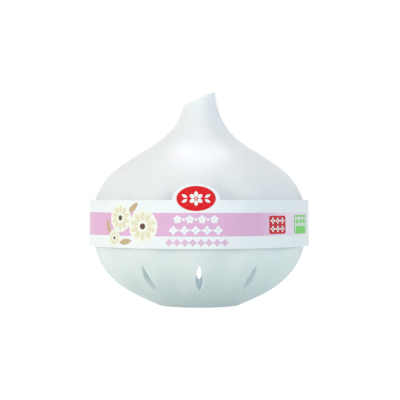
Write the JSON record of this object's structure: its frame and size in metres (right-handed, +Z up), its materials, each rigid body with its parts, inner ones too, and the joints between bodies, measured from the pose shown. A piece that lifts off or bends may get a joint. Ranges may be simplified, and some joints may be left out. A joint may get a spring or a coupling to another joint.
{
  "type": "garlic keeper",
  "caption": "Ventilated bulb-shaped storage pot with a lift-off lid and pointed stem, fluted walls and a slip-on card sleeve.",
  "frame": {"origin": "centre of the foot, on the surface the keeper stands on", "axes": "+Z up along the bulb's axis; -Y is the front, which carries the sleeve's tab; +X is the side to which the stem leans and where its oblique cut is highest"},
  "size_m": [0.1268, 0.1273, 0.1229],
  "materials": {
    "moulded_plastic": "gloss",
    "sleeve_card": "satin",
    "seam_glue": "matte"
  },
  "bodies": {
    "bowl": {"bowl": "moulded_plastic"},
    "lid": {"lid": "moulded_plastic"},
    "sleeve": {"sleeve": "sleeve_card", "sleeve_glue": "seam_glue"}
  },
  "joints": [
    {"name": "lid_lift", "type": "slide", "parent": "bowl", "child": "lid", "axis": [0, 0, 1], "range_m": [0, 0.09]},
    {"name": "sleeve_slide", "type": "slide", "parent": "bowl", "child": "sleeve", "axis": [0, 0, 1], "range_m": [0, 0.1]}
  ]
}
